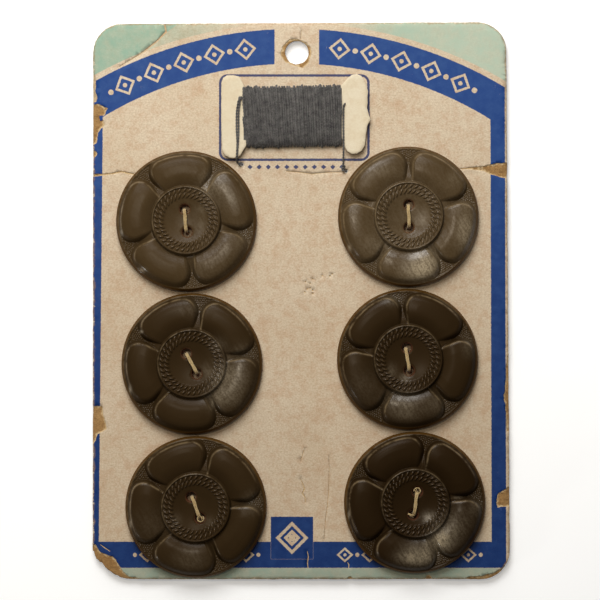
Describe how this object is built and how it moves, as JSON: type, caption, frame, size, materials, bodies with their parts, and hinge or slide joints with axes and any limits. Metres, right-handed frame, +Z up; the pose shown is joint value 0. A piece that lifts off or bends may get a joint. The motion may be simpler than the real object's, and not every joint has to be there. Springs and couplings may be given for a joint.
{
  "type": "card of buttons",
  "caption": "Printed backing card with a punched hang hole, rows of moulded flower buttons sewn on with thread, and a small card bobbin wound with mending thread tied above them.",
  "frame": {"origin": "on the resting surface, under the middle of the card", "axes": "+Z up out of the printed face, +Y along the card towards the hang hole, +X to the right of the printed face"},
  "size_m": [0.095, 0.127, 0.0071],
  "materials": {
    "card_board": "matte printed board, worn",
    "button_plastic": "satin moulded dark brown",
    "stitch_thread": "twisted cotton",
    "bobbin_card": "matte cream card",
    "grey_thread": "twisted mending thread"
  },
  "bodies": {
    "root": {"backing_card": "card_board", "button_top_left": "button_plastic", "button_top_right": "button_plastic", "button_middle_left": "button_plastic", "button_middle_right": "button_plastic", "button_bottom_left": "button_plastic", "button_bottom_right": "button_plastic", "button_stitch_top_left": "stitch_thread", "button_stitch_top_right": "stitch_thread", "button_stitch_middle_left": "stitch_thread", "button_stitch_middle_right": "stitch_thread", "button_stitch_bottom_left": "stitch_thread", "button_stitch_bottom_right": "stitch_thread", "thread_bobbin": "bobbin_card", "thread_winding": "grey_thread", "bobbin_tie_left": "grey_thread", "bobbin_tie_right": "grey_thread"}
  },
  "joints": []
}
